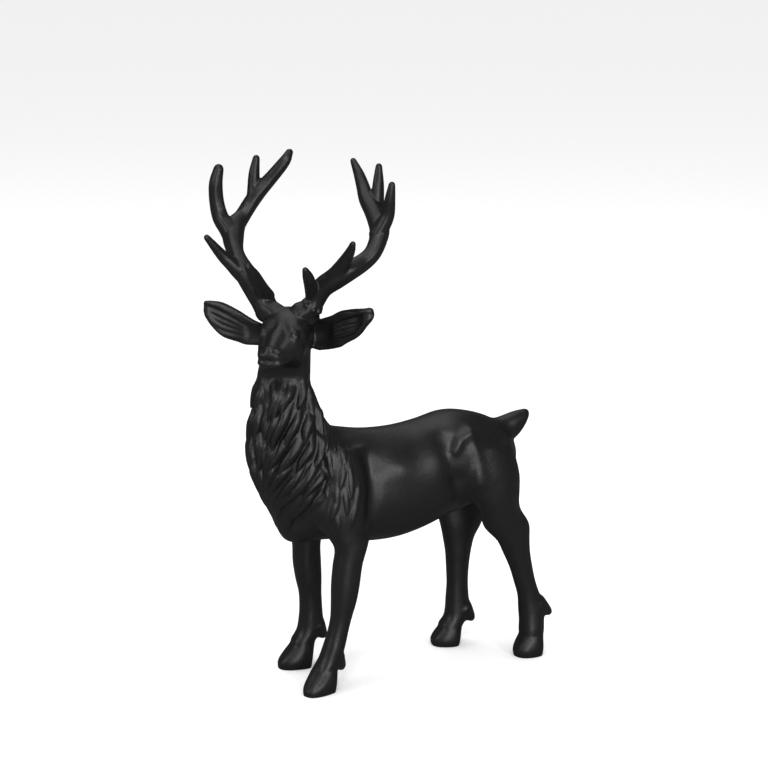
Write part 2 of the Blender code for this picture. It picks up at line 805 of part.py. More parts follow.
def finish(stag):
    """Stretches the figure to its whole sizes and puts it over the origin, smooth-shaded, in a
    collection of its own."""
    stag.name = "stag"
    points = points_of(stag.data)
    low, high = points.min(axis=0), points.max(axis=0)
    below_middle = np.array(((low[0] + high[0]) / 2, (low[1] + high[1]) / 2, low[2]))
    whole = np.array((WIDTH, LENGTH, HEIGHT))
    set_points(stag.data, (points - below_middle) * whole / (high - low))
    stag.data.shade_smooth()
    iron = bpy.data.materials.new("cast iron")
    iron.use_nodes = True
    coat = iron.node_tree.nodes["Principled BSDF"]
    coat.inputs["Base Color"].default_value = (0.02, 0.02, 0.02, 1)
    coat.inputs["Metallic"].default_value = 0.3
    coat.inputs["Roughness"].default_value = 0.35
    stag.data.materials.clear()
    stag.data.materials.append(iron)
    casting = bpy.data.collections.new("Cast iron stag")
    bpy.context.scene.collection.children.link(casting)
    bpy.context.scene.collection.objects.unlink(stag)
    casting.objects.link(stag)


def main():
    for old in list(bpy.data.objects):
        bpy.data.objects.remove(old)
    pieces = [trunk(), neck(), head(), tail()]
    for side in (LEFT, RIGHT):
        pieces.append(ear(side))
        pieces += antler(side)
    for row in LEGS:
        pieces += leg(*row)
    stag = fuse(pieces)
    stag = soften(stag, np.ones(len(stag.data.vertices)), 4)
    carve(stag)
    stand_flat(stag)
    stag = reduce(stag)
    finish(stag)


main()
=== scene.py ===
# %% [markdown]
# # A cast iron stag in black satin paint
# The real piece is a single iron casting: a stag that stands on its four hooves with its head turned
# to its left. Its charm is in the contrast between a plain, softly shining trunk and the deep hair of
# the mane. This lesson builds it in three moves. First come simple closed forms for the trunk, neck,
# head, ears, antlers and legs. Then they are fused into one skin, as molten iron would fuse them. Last,
# the skin is carved, painted and lit.

# %% The measured frame
import math

import bmesh
import bpy
import numpy as np
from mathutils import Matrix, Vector


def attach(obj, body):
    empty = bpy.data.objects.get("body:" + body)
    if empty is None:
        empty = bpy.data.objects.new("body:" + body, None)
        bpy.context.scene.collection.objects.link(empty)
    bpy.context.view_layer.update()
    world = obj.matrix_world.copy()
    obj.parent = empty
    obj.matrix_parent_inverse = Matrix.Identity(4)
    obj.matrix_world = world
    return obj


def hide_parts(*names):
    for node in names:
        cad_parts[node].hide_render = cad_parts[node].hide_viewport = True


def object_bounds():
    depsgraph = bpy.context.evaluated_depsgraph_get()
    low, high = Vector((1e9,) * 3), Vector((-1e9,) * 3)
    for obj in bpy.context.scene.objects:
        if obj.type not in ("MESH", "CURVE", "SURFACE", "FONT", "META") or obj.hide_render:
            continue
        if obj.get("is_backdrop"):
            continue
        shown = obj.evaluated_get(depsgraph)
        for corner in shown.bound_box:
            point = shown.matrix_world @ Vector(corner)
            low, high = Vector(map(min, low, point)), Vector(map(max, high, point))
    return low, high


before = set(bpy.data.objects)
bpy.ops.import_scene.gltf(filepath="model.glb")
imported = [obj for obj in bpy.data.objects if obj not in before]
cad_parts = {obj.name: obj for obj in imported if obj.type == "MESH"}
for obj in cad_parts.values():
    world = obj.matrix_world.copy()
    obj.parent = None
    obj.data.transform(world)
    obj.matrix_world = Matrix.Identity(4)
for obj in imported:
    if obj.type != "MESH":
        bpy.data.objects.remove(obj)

CAD_LOW, CAD_HIGH = (np.array(corner, float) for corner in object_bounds())
print("box of the solid, mm:", (1000 * (CAD_HIGH - CAD_LOW)).round(1))

# %% [markdown]
# ## Camera
# The picture was taken from the stag's front left, a little above it and from well back, so the
# perspective is mild. The camera comes first, because it decides which details will be seen.

# %% Camera
TARGET = Vector((0.0050, -0.0009, 0.243))
EYE = Vector((1.5062, -0.7009, 0.6254))
camera = bpy.data.objects.new("camera", bpy.data.cameras.new("camera"))
bpy.context.scene.collection.objects.link(camera)
camera.location = EYE
camera.rotation_euler = (TARGET - EYE).to_track_quat("-Z", "Y").to_euler()
camera.data.sensor_width = 36
camera.data.lens = 97.38
camera.data.clip_end = 60
bpy.context.scene.camera = camera
print("camera", round((TARGET - EYE).length, 2), "m away")

# %% [markdown]
# ## Measures
# A modeller's stag is easier to think about in millimetres, so every station below is in
# millimetres of the real piece. The figure is drawn in its own frame and moved over the origin when it
# is finished: MIDDLE is the place in that frame that ends up there.

# %% Units, sides and levels
MM = 0.001
MIDDLE = np.array((-5.0, 0.9, 0.0))
LEFT, RIGHT = 1, -1
VOXEL = 0.7
TRIANGLES = 192000


def smoothstep(low, high, value):
    t = np.clip((np.asarray(value, float) - low) / (high - low), 0, 1)
    return t * t * (3 - 2 * t)


def spline(stations, steps):
    """Rows of numbers read along a smooth curve through the stations."""
    rows = np.array(stations, float)
    ends = np.vstack([2 * rows[0] - rows[1], rows, 2 * rows[-1] - rows[-2]])
    read = []
    for before, start, end, after in zip(ends, ends[1:], ends[2:], ends[3:]):
        for t in np.arange(steps) / steps:
            bend = 2 * before - 5 * start + 4 * end - after
            swing = 3 * start - before - 3 * end + after
            read.append(0.5 * (2 * start + (end - before) * t + bend * t**2 + swing * t**3))
    read.append(rows[-1])
    return np.array(read)


print("voxel", VOXEL, "mm, at most", TRIANGLES, "triangles")

# %% [markdown]
# ## Closed forms from rings
# A trunk, a neck or a leg is a row of ovals with a skin over them. A loft is the natural tool here,
# because each oval can be read straight off a side view and a front view. Every loft is closed at
# both ends, since only closed forms can be fused later.

# %% Rings and lofts


def link(name, mesh):
    made = bpy.data.objects.new(name, mesh)
    bpy.context.scene.collection.objects.link(made)
    return made


def mesh_object(name, bm):
    bmesh.ops.recalc_face_normals(bm, faces=bm.faces)
    mesh = bpy.data.meshes.new(name)
    bm.to_mesh(mesh)
    bm.free()
    return link(name, mesh)


def ring(centre, side, up, half_width, half_up, half_down, egg=0.0, count=64, round_off=1.0):
    """An oval round centre. Egg over 0 moves its widest place up; round_off under 1 makes it boxy."""
    centre, side, up = (np.array(v, float) for v in (centre, side, up))
    points = []
    for angle in np.arange(count) * 2 * math.pi / count:
        rise = math.copysign(abs(math.sin(angle)) ** round_off, math.sin(angle))
        width = math.copysign(abs(math.cos(angle)) ** round_off, math.cos(angle))
        width *= half_width * (1 + egg * rise)
        height = rise * (half_up if rise > 0 else half_down)
        points.append(centre + side * width + up * height)
    return points


def loft(name, rings):
    bm = bmesh.new()
    rows = [[bm.verts.new(Vector(point) * MM) for point in one] for one in rings]
    count = len(rows[0])
    for low, high in zip(rows, rows[1:]):
        for i in range(count):
            j = (i + 1) % count
            bm.faces.new((low[i], low[j], high[j], high[i]))
    for row in (rows[0], rows[-1]):
        pole = bm.verts.new(sum((v.co for v in row), Vector()) / count)
        for i in range(count):
            bm.faces.new((row[i], row[(i + 1) % count], pole))
    return mesh_object(name, bm)


print("rings of", len(ring((0, 0, 0), (1, 0, 0), (0, 0, 1), 1, 1, 1)), "points each")

# %% Trunk
# y, top, bottom, half width, egg
TRUNK = (
    (-98, 186, 154, 14, 0.0),
    (-90, 200, 136, 25, 0.0),
    (-74, 215, 121, 33, 0.0),
    (-50, 213.5, 118, 36, 0.0),
    (-22, 208.5, 113, 35, -0.08),
    (5, 207.5, 113, 37.5, -0.06),
    (30, 210.5, 118, 38, 0.0),
    (55, 215.5, 126, 36, 0.1),
    (75, 213.5, 132, 35, 0.05),
    (95, 207, 138, 31, 0.0),
    (110, 197, 148, 23, 0.0),
    (118, 186, 162, 12, 0.0),
)


def trunk():
    rings = []
    for y, top, bottom, half_width, egg in spline(TRUNK, 6):
        half = (top - bottom) / 2
        rings.append(ring((0, y, bottom + half), (1, 0, 0), (0, 0, 1), half_width, half, half, egg))
    return loft("trunk", rings)


pieces = [trunk()]
print("trunk", TRUNK[-1][0] - TRUNK[0][0], "mm long")

# %% Neck and breast
# z, x, front y, back y, half width
NECK = (
    (306, 6, -96, -72, 12),
    (294, 6, -104, -69, 18),
    (276, 5, -108.5, -69, 19.8),
    (258, 3, -112, -68.5, 22.4),
    (240, 2, -116, -64.5, 26.5),
    (222, 1, -118.5, -55.5, 30.5),
    (204, 0, -119.5, -42, 33.5),
    (184, 0, -118, -36, 35),
    (164, 0, -111, -40, 33),
    (146, 0, -101.5, -46, 27),
    (132, 0, -95.5, -54, 20),
    (123, 0, -91, -60, 13),
    (119, 0, -85, -68, 6),
)
NECK_EGG = -0.12


def neck():
    rings = []
    for z, x, front, back, half_width in spline(NECK, 6):
        half = (back - front) / 2
        middle = (x, front + half, z)
        rings.append(ring(middle, (1, 0, 0), (0, -1, 0), half_width, half, half, NECK_EGG))
    return loft("neck", rings)


pieces.append(neck())
print("neck", NECK[0][0] - NECK[-1][0], "mm high")

# %% [markdown]
# ## Head, ears and antlers
# The head is turned 44 degrees to the animal's left, so it gets directions of its own: to its left,
# forwards and up, measured from the poll, the top of the skull between the antlers. Everything on
# the head is then drawn as if the stag looked straight ahead.

# %% The head's own directions
POLL = (4.5, -83, 316)
HEAD_TURN = math.radians(44)
HEAD_LEFT = Vector((math.cos(HEAD_TURN), math.sin(HEAD_TURN), 0))
HEAD_FORWARD = Vector((math.sin(HEAD_TURN), -math.cos(HEAD_TURN), 0))
HEAD_UP = Vector((0, 0, 1))


def on_head(side, forward, up):
    return Vector(POLL) + HEAD_LEFT * side + HEAD_FORWARD * forward + HEAD_UP * up


print("head turned", round(math.degrees(HEAD_TURN)), "degrees")

# %% Skull and muzzle
# forwards from the poll, top, bottom, half width, egg
HEAD = (
    (-18, -14, -30, 8, 0.0),
    (-14, -7, -36, 13, 0.0),
    (-6, -2.4, -45, 16.5, 0.1),
    (2, -0.6, -52, 18, 0.2),
    (10, -0.8, -54.5, 19, 0.26),
    (17, -4.2, -51.5, 18.8, 0.2),
    (23, -8.6, -46, 18.0, -0.06),
    (28, -12.6, -42.6, 16.6, -0.2),
    (33, -17, -41.4, 14.8, -0.25),
    (39, -22, -42.2, 12.2, -0.25),
    (43.5, -25.5, -43, 10.6, -0.2),
    (46.5, -28.2, -42, 8.8, -0.1),
    (48, -31, -40, 5.5, 0.0),
)
HEAD_BOXINESS = 0.85


def head():
    rings = []
    for ahead, top, bottom, half_width, egg in spline(HEAD, 6):
        half = (top - bottom) / 2
        middle = on_head(0, ahead, bottom + half)
        rings.append(ring(middle, HEAD_LEFT, HEAD_UP, half_width, half, half, egg, round_off=HEAD_BOXINESS))
    return loft("head", rings)


pieces.append(head())
print("muzzle reaches", HEAD[-1][0], "mm ahead of the poll")

# %% Ears, cupped leaves
# out, forward, up, half height
EARS = {
    LEFT: (
        (12, -6, -23, 10),
        (20, -4, -23, 12),
        (26.5, -4, -22, 12.4),
        (32.6, -3, -20.2, 12.8),
        (41, 0, -16.5, 13.8),
        (50, 3, -13, 12.9),
        (57, 4.5, -10.2, 11.2),
        (64, 6, -5.2, 7.0),
        (69, 7, -1.8, 4.8),
        (71.5, 7, -0.2, 2.2),
    ),
    RIGHT: (
        (12, -6, -28, 8),
        (20, -4, -27, 8.4),
        (32, -2, -25.5, 9.6),
        (40, -1, -23.4, 11.8),
        (47, 0, -20.8, 13.4),
        (54, 2, -17.9, 14.4),
        (60, 4, -15.2, 14.4),
        (66, 6, -11.5, 11.4),
        (70, 7, -8, 7.8),
        (72.6, 7, -5.8, 5.4),
        (74, 7, -5.0, 3.0),
    ),
}
EAR_THICKNESS = 4.4
EAR_CUP = {LEFT: 6.2, RIGHT: 2.6}


def on_ear(side, station, t, lift):
    """t runs from the lower rim at -1 to the upper rim at 1; lift is towards the front."""
    out, ahead, up, half = station
    cup = EAR_CUP[side] * (1 - t * t) * min(1, half / 10)
    return on_head(side * out, ahead - cup + lift, up + half * t)


def ear(side):
    bm = bmesh.new()
    rows = []
    for station in spline(EARS[side], 6):
        rows.append([bm.verts.new(on_ear(side, station, t, 0) * MM) for t in np.linspace(-1, 1, 19)])
    for low, high in zip(rows, rows[1:]):
        for i in range(len(low) - 1):
            bm.faces.new((low[i], low[i + 1], high[i + 1], high[i]))
    made = mesh_object("ear", bm)
    wall = made.modifiers.new("wall", "SOLIDIFY")
    wall.thickness = EAR_THICKNESS * MM
    wall.offset = 0
    return made


pieces += [ear(LEFT), ear(RIGHT)]
print("ears", EARS[LEFT][-1][0], "and", EARS[RIGHT][-1][0], "mm out from the poll")

# %% [markdown]
# ## One tree that sweeps antlers and eyelids
# An antler branch and an eyelid are the same problem: a rod that follows a path, gets thinner to a
# tip and may have ridges along it. A Geometry Nodes tree does that for any number of paths at once. It
# turns edges into curves, reads each point's thickness from an attribute, and sweeps a fluted profile
# along them. Ridges that follow the path by themselves are hard to get any other way.

# %% The sweeping tree


def new_tree(name, sockets):
    """A geometry tree with a mesh in, a mesh out and the named number inputs."""
    tree = bpy.data.node_groups.new(name, "GeometryNodeTree")
    tree.interface.new_socket("Geometry", in_out="INPUT", socket_type="NodeSocketGeometry")
    for label, kind, value in sockets:
        made = tree.interface.new_socket(label, in_out="INPUT", socket_type=kind)
        if value is not None:
            made.default_value = value
    tree.interface.new_socket("Geometry", in_out="OUTPUT", socket_type="NodeSocketGeometry")
    return tree


def math_node(tree, operation, *values):
    """The output of a maths node; each value is a number or a socket."""
    made = tree.nodes.new("ShaderNodeMath")
    made.operation = operation
    for socket, value in zip(made.inputs, values):
        if isinstance(value, (int, float)):
            socket.default_value = value
        else:
            tree.links.new(value, socket)
    return made.outputs[0]


def sweeping_tree():
    tree = new_tree(
        "Fluted sweep",
        (
            ("Sides", "NodeSocketInt", 36),
            ("Flutes", "NodeSocketFloat", 9.0),
            ("Flute depth", "NodeSocketFloat", 0.08),
            ("Material", "NodeSocketMaterial", None),
        ),
    )
    nodes, links = tree.nodes, tree.links
    given = nodes.new("NodeGroupInput")
    result = nodes.new("NodeGroupOutput")
    circle = nodes.new("GeometryNodeCurvePrimitiveCircle")
    circle.inputs["Radius"].default_value = 1.0
    links.new(given.outputs["Sides"], circle.inputs["Resolution"])
    place = nodes.new("GeometryNodeInputPosition")
    parts = nodes.new("ShaderNodeSeparateXYZ")
    links.new(place.outputs[0], parts.inputs[0])
    angle = math_node(tree, "ARCTAN2", parts.outputs["Y"], parts.outputs["X"])
    many = math_node(tree, "MULTIPLY", angle, given.outputs["Flutes"])
    wave = math_node(tree, "COSINE", many)
    deep = math_node(tree, "MULTIPLY", wave, given.outputs["Flute depth"])
    push = nodes.new("ShaderNodeVectorMath")
    push.operation = "SCALE"
    links.new(place.outputs[0], push.inputs[0])
    links.new(deep, push.inputs["Scale"])
    fluted = nodes.new("GeometryNodeSetPosition")
    links.new(circle.outputs["Curve"], fluted.inputs["Geometry"])
    links.new(push.outputs["Vector"], fluted.inputs["Offset"])
    paths = nodes.new("GeometryNodeMeshToCurve")
    links.new(given.outputs["Geometry"], paths.inputs["Mesh"])
    girth = nodes.new("GeometryNodeInputNamedAttribute")
    girth.data_type = "FLOAT"
    girth.inputs["Name"].default_value = "girth"
    thick = nodes.new("GeometryNodeSetCurveRadius")
    links.new(paths.outputs["Curve"], thick.inputs["Curve"])
    links.new(girth.outputs["Attribute"], thick.inputs["Radius"])
    sweep = nodes.new("GeometryNodeCurveToMesh")
    sweep.inputs["Fill Caps"].default_value = True
    links.new(thick.outputs["Curve"], sweep.inputs["Curve"])
    links.new(fluted.outputs["Geometry"], sweep.inputs["Profile Curve"])
    links.new(girth.outputs["Attribute"], sweep.inputs["Scale"])
    real = nodes.new("GeometryNodeRealizeInstances")
    links.new(sweep.outputs["Mesh"], real.inputs["Geometry"])
    coat = nodes.new("GeometryNodeSetMaterial")
    links.new(real.outputs["Geometry"], coat.inputs["Geometry"])
    links.new(given.outputs["Material"], coat.inputs["Material"])
    links.new(coat.outputs["Geometry"], result.inputs["Geometry"])
    return tree


FLUTED_SWEEP = sweeping_tree()
IRON = bpy.data.materials.new("black satin iron")
print("sweeping tree has", len(FLUTED_SWEEP.nodes), "nodes")

# %% Paths in, plain closed mesh out


def as_mesh(made):
    """The evaluated object as a plain mesh with its seams welded, in place of the object."""
    graph = bpy.context.evaluated_depsgraph_get()
    mesh = bpy.data.meshes.new_from_object(made.evaluated_get(graph))
    name = made.name
    bpy.data.objects.remove(made)
    bm = bmesh.new()
    bm.from_mesh(mesh)
    bmesh.ops.remove_doubles(bm, verts=bm.verts, dist=0.00001)
    bm.to_mesh(mesh)
    bm.free()
    return link(name, mesh)


def rounded(path):
    """The path with a half ball added at each end, so that no flat cap shows where rods meet."""
    ends = []
    for tip, inner in ((path[0], path[1]), (path[-1], path[-2])):
        way = (tip[:3] - inner[:3]) / np.linalg.norm(tip[:3] - inner[:3])
        turns = np.radians((25, 50, 72, 86))
        ends.append([(*(tip[:3] + way * tip[3] * math.sin(a)), tip[3] * math.cos(a)) for a in turns])
    return np.array([*ends[0][::-1], *path, *ends[1]])


def swept(name, paths, flutes, depth, sides=36):
    """paths is a list of rows of x, y, z and radius, all in mm."""
    points, edges, girths = [], [], []
    for path in paths:
        path = rounded(np.array(path))
        first = len(points)
        points += [tuple(row[:3] * MM) for row in path]
        girths += [row[3] * MM for row in path]
        edges += [(first + i, first + i + 1) for i in range(len(path) - 1)]
    mesh = bpy.data.meshes.new(name)
    mesh.from_pydata(points, edges, [])
    mesh.attributes.new("girth", "FLOAT", "POINT").data.foreach_set("value", girths)
    made = link(name, mesh)
    sweep = made.modifiers.new("sweep", "NODES")
    sweep.node_group = FLUTED_SWEEP
    values = {"Sides": sides, "Flutes": float(flutes), "Flute depth": depth, "Material": IRON}
    for item in FLUTED_SWEEP.interface.items_tree:
        if item.in_out == "INPUT" and item.name in values:
            sweep[item.identifier] = values[item.name]
    return as_mesh(made)


print("a path becomes a rod with the girth of its points")

# %% Antlers
# out, forward, up and radius, for the left and the right antler
BEAM = {
    LEFT: (
        (11, 6, -4.5, 9.5),
        (18.5, 4, 0, 8.0),
        (22.2, 2, 7, 7.6),
        (28.3, 2, 17.2, 8.4),
        (39.5, 1, 25, 8.6),
        (48, -2, 30.3, 8.0),
        (55.2, -13, 35.6, 7.2),
        (61, -20, 42.5, 6.9),
        (63, -28, 52.7, 7.3),
        (61.5, -34, 61, 8.0),
        (54.5, -40, 71.5, 7.2),
        (46, -46, 81, 6.2),
        (40.2, -53, 90, 5.4),
        (35.2, -57, 99, 4.4),
        (28.3, -62, 109, 2.6),
    ),
    RIGHT: (
        (9.5, 7, -8, 9.3),
        (18.3, 5, -4, 9.6),
        (23.4, 3, 2.6, 9.6),
        (29.5, 2, 11, 9.6),
        (38.5, 1, 22.5, 8.6),
        (47.6, -4, 33.2, 7.0),
        (54.6, -13, 39.5, 7.2),
        (60, -22, 47.5, 8.6),
        (62.8, -32, 56, 8.4),
        (60.3, -40, 62.5, 6.6),
        (56, -46, 72, 6.4),
        (49.5, -50, 82.5, 6.4),
        (42, -54, 91.5, 5.6),
        (30.5, -58, 106, 4.8),
        (27.5, -62, 113.5, 3.2),
    ),
}
BROW_TINE = {
    LEFT: ((20, 4, 10, 5.8), (22, 12, 18, 5.2), (24, 22, 27.5, 4.4), (24.6, 29, 34.5, 2.6)),
    RIGHT: ((19, 4, 7, 6.0), (21, 12, 15, 5.8), (23, 22, 27, 5.0), (24, 29, 34, 3.0)),
}
SECOND_TINE = {
    LEFT: (
        (30, 2, 20, 7.0),
        (39.5, 4, 28, 6.3),
        (48.5, 8, 38.5, 5.2),
        (56, 14, 48.3, 3.8),
        (60.3, 19, 55.5, 2.4),
    ),
    RIGHT: (
        (30, 2, 15, 7.2),
        (40.5, 3, 22, 6.8),
        (49, 6, 31, 5.8),
        (55.3, 11, 39, 4.6),
        (62.5, 22, 54, 2.6),
    ),
}
OUTER_TINE = {
    LEFT: (
        (62, -29, 56, 7.0),
        (65.8, -30, 62.5, 6.2),
        (70, -31, 72, 5.4),
        (73, -28, 85.5, 4.2),
        (74.8, -27, 96, 2.8),
    ),
    RIGHT: (
        (61, -22, 48, 7.6),
        (65.5, -24, 54, 7.4),
        (73, -26, 63, 6.7),
        (76.2, -26, 76, 6.0),
        (76.2, -25, 90, 5.6),
        (74, -26, 102, 4.2),
    ),
}
MIDDLE_TINE = {
    LEFT: (
        (58, -40, 64, 5.6),
        (56, -44, 72, 5.2),
        (54.6, -48, 82, 5.2),
        (53.6, -52, 93, 4.6),
        (53.8, -53, 106.5, 2.8),
    ),
    RIGHT: (
        (53.6, -47, 76, 5.4),
        (54, -49, 86, 5.0),
        (54.1, -51, 97, 4.5),
        (53, -53, 108.5, 3.0),
    ),
}
BRANCHES = (BEAM, BROW_TINE, SECOND_TINE, OUTER_TINE, MIDDLE_TINE)
ANTLER_FLUTES, ANTLER_FLUTE_DEPTH = 5, 0.04
# the boss that each antler grows out of, the places where branches part, and the beads of the burr
ROOT_BOSS = {LEFT: (15.8, 1, -8, 8.4), RIGHT: (20.5, 1, -5.5, 10.2)}
FORKS = {
    LEFT: ((12, 11, -6), (29, 3, 20), (41, 3, 28), (63, -30, 58), (57, -41, 69)),
    RIGHT: ((12, 11, -6), (28, 3, 15), (40, 3, 25), (62, -26, 52), (55, -48, 78)),
}
BURR_AT = {LEFT: (20, 4, 1.5), RIGHT: (22.5, 4, 1)}
BURR_BEADS, BURR_RADIUS, BEAD_RADIUS = 11, 7.6, 2.2
BURR_SLOPE = (0.8, 0.55)


def ball(centre, radius):
    bm = bmesh.new()
    bmesh.ops.create_uvsphere(bm, u_segments=24, v_segments=16, radius=radius * MM)
    bmesh.ops.translate(bm, verts=bm.verts, vec=Vector(centre) * MM)
    return mesh_object("ball", bm)


def antler(side):
    paths = []
    for branch in BRANCHES:
        rows = spline(branch[side], 8)
        paths.append([(*on_head(side * out, ahead, up), radius) for out, ahead, up, radius in rows])
    out, ahead, up, radius = ROOT_BOSS[side]
    boss = ball(on_head(side * out, ahead, up), radius)
    made = [boss, swept("antler", paths, ANTLER_FLUTES, ANTLER_FLUTE_DEPTH, 48)]
    for i in range(BURR_BEADS):
        turn = 2 * math.pi * i / BURR_BEADS + 0.3 * math.sin(5 * i)
        out, ahead, up = BURR_AT[side]
        out += BURR_SLOPE[0] * BURR_RADIUS * math.cos(turn)
        up -= BURR_SLOPE[1] * BURR_RADIUS * math.cos(turn)
        ahead += BURR_RADIUS * math.sin(turn)
        made.append(ball(on_head(side * out, ahead, up), BEAD_RADIUS * (1 + 0.2 * math.sin(3 * i))))
    return made


antlers = antler(LEFT) + antler(RIGHT)
print("antlers with", len(BRANCHES), "points each")

# %% [markdown]
# ## Legs and tail
# A leg is one loft from the shoulder or thigh down to the coronet, then a second loft for the hoof,
# turned outwards as the animal stands. Behind each fetlock two dewclaws end in a small point.

# %% Legs
# z, x, y, half width, half depth
FRONT_LEFT = (
    (200, 18, -46, 13, 20),
    (175, 24, -50, 15, 26),
    (150, 28, -50, 14, 25),
    (132, 30, -46, 13, 20),
    (118, 31, -44, 12.5, 13.2),
    (104, 31, -47, 11.6, 11.8),
    (88, 31, -49, 11.3, 11.4),
    (74, 31, -50.5, 10.5, 10.2),
    (60, 31, -53, 8.8, 8.4),
    (48, 31, -56, 8.4, 8.2),
    (36, 31, -59.5, 9.2, 8.8),
    (27, 31, -63, 9.4, 8.8),
    (20, 31, -67.5, 10.2, 8.6),
)
FRONT_RIGHT = (
    (200, -18, -52, 13, 20),
    (175, -24, -56, 15, 26),
    (150, -28, -58, 14, 25),
    (130, -29, -58, 13, 19),
    (109, -29, -58, 11.7, 11.8),
    (92, -29, -57.7, 11.3, 11.5),
    (76, -29, -56.3, 10.6, 10.6),
    (64, -29, -55, 9.2, 9.2),
    (52, -29, -54.5, 9.0, 9.2),
    (42, -29, -54.5, 9.4, 9.8),
    (31, -29, -56, 9.8, 10.5),
    (22, -29, -62, 10.4, 10.5),
)
HIND_LEFT = (
    (190, 20, 79, 14, 27),
    (165, 25, 83, 15, 29),
    (147, 27, 89, 14, 23.2),
    (133, 27, 94, 13, 18.6),
    (117, 26, 101.5, 11.5, 20.3),
    (104, 26, 108, 10.5, 14.3),
    (92, 26, 111.5, 9.6, 11.5),
    (78, 26, 116, 8.6, 9.6),
    (64, 26, 120, 8.3, 9.0),
    (52, 26, 124, 8.6, 9.4),
    (40, 26, 126.5, 9.8, 11.0),
    (30, 27, 126.5, 10.0, 10.4),
    (20, 28, 126, 10.6, 10.8),
)
HIND_RIGHT = (
    (190, -20, 76, 14, 24),
    (165, -25, 78, 15, 28),
    (145, -27, 80, 14, 24),
    (125, -26, 84.5, 12.5, 23.6),
    (108, -24, 84.3, 11.5, 19),
    (95, -24, 82, 10.3, 13.8),
    (82, -24, 81.5, 9.4, 11),
    (68, -24, 81, 8.6, 9.6),
    (54, -24, 81, 8.3, 9.0),
    (42, -24, 81, 8.8, 9.8),
    (32, -24, 81, 9.4, 10.2),
    (24, -24, 79.5, 9.8, 10.4),
    (18, -24, 75, 10.6, 11.5),
)
# turn of the hoof, height of the dewclaws, extra reach of the toe and of the heel
LEGS = (
    (FRONT_LEFT, math.radians(28), 13, 4.5, -5.5),
    (FRONT_RIGHT, math.radians(2), 22, 3.0, -1),
    (HIND_LEFT, math.radians(12), 32, -3, 1.5),
    (HIND_RIGHT, math.radians(-4), 19, -2, 0),
)
# height, half width, toe, heel
HOOF = (
    (20, 10.4, 9.5, 10.5),
    (13, 12.0, 15.5, 9.0),
    (6, 12.8, 20.5, 8.0),
    (0, 11.8, 20, 6.8),
    (-4, 11, 18, 6),
)
HOOF_DROP = 20
# a dewclaw's rise and reach, how far its root lies inside the leg, and its radii
CLAW_RISE, CLAW_REACH, CLAW_ROOT = 13.0, 19.5, 4
CLAW_THICK, CLAW_TIP = 9.0, 4.6
# what the smoothing takes off a leg again
LEG_SKIN = 0.6


def leg_middle(stations, z):
    rows = np.array(stations, float)[::-1]
    return np.array([np.interp(z, rows[:, 0], rows[:, 1]), np.interp(z, rows[:, 0], rows[:, 2]), z])


def tapered(start, end, start_radius, end_radius):
    """A round horn with a rounded tip."""
    start, end = Vector(start), Vector(end)
    way = (end - start).normalized()
    side = way.cross(Vector((0, 0, 1))).normalized()
    up = side.cross(way)
    rings = []
    for t, share in ((0, 1), (0.4, 0.95), (0.8, 0.8), (1.0, 0.5)):
        radius = (start_radius + (end_radius - start_radius) * t) * share
        rings.append(ring(start.lerp(end, t), side, up, radius, radius, radius, count=20))
    return loft("horn", rings)


def leg(stations, splay, claw_height, toe_reach, heel_reach):
    rings = []
    for z, x, y, half_width, half_depth in spline(stations, 5):
        wide, deep = half_width + LEG_SKIN, half_depth + LEG_SKIN
        rings.append(ring((x, y, z), (1, 0, 0), (0, -1, 0), wide, deep, deep))
    made = [loft("leg", rings)]
    top, x, y = stations[-1][:3]
    ahead = np.array((math.sin(splay), -math.cos(splay), 0))
    side = np.array((math.cos(splay), math.sin(splay), 0))
    rings = []
    for z, half_width, toe, heel in spline(HOOF, 5):
        low = smoothstep(HOOF_DROP, 0, z)
        middle = (x, y, z if z < 0 else z * top / HOOF_DROP)
        rings.append(ring(middle, side, ahead, half_width, toe + toe_reach * low, heel + heel_reach * low))
    made.append(loft("hoof", rings))
    for hand in (LEFT, RIGHT):
        root = leg_middle(stations, claw_height + CLAW_RISE) - ahead * CLAW_ROOT + side * hand * 2.6
        tip = leg_middle(stations, claw_height) - ahead * CLAW_REACH + side * hand * 3.4
        made.append(tapered(root, tip, CLAW_THICK, CLAW_TIP))
    return made


for row in LEGS:
    pieces += leg(*row)
print(len(LEGS), "legs")

# %% Tail
# y, z, half width, half depth
TAIL = (
    (96, 190, 9, 12),
    (108, 192, 9.5, 13),
    (118, 196, 9, 11.5),
    (126, 200.5, 7.5, 8.5),
    (132.5, 205, 5.0, 4.6),
    (135, 207.5, 2.4, 2.2),
)
TAIL_UP = (0, -0.5, 0.87)


def tail():
    rings = []
    for y, z, half_width, half_depth in spline(TAIL, 5):
        rings.append(ring((0, y, z), (1, 0, 0), TAIL_UP, half_width, half_depth, half_depth))
    return loft("tail", rings)


pieces.append(tail())
print("tail tip at", TAIL[-1][1], "mm")

# %% [markdown]
# ## One casting
# A voxel remesh is the closest thing to casting: all closed forms that touch become one skin. It is
# done twice. The first time it joins the plain body, which is then smoothed hard, so that the legs
# and the tail grow out of the trunk without a seam. The second takes in antlers, eyes and lids. Hair
# is carved last, because smoothing would blur it.

# %% Fuse and smooth


def fused(name, all_pieces):
    bm = bmesh.new()
    for piece in all_pieces:
        solid = as_mesh(piece)
        bm.from_mesh(solid.data)
        bpy.data.objects.remove(solid)
    mesh = bpy.data.meshes.new(name)
    bm.to_mesh(mesh)
    bm.free()
    made = link(name, mesh)
    skin = made.modifiers.new("skin", "REMESH")
    skin.mode = "VOXEL"
    skin.voxel_size = VOXEL * MM
    return as_mesh(made)


def read(mesh, what):
    values = np.empty(len(mesh.vertices) * 3, np.float32)
    mesh.vertices.foreach_get(what, values)
    return values.reshape(-1, 3).astype(float)


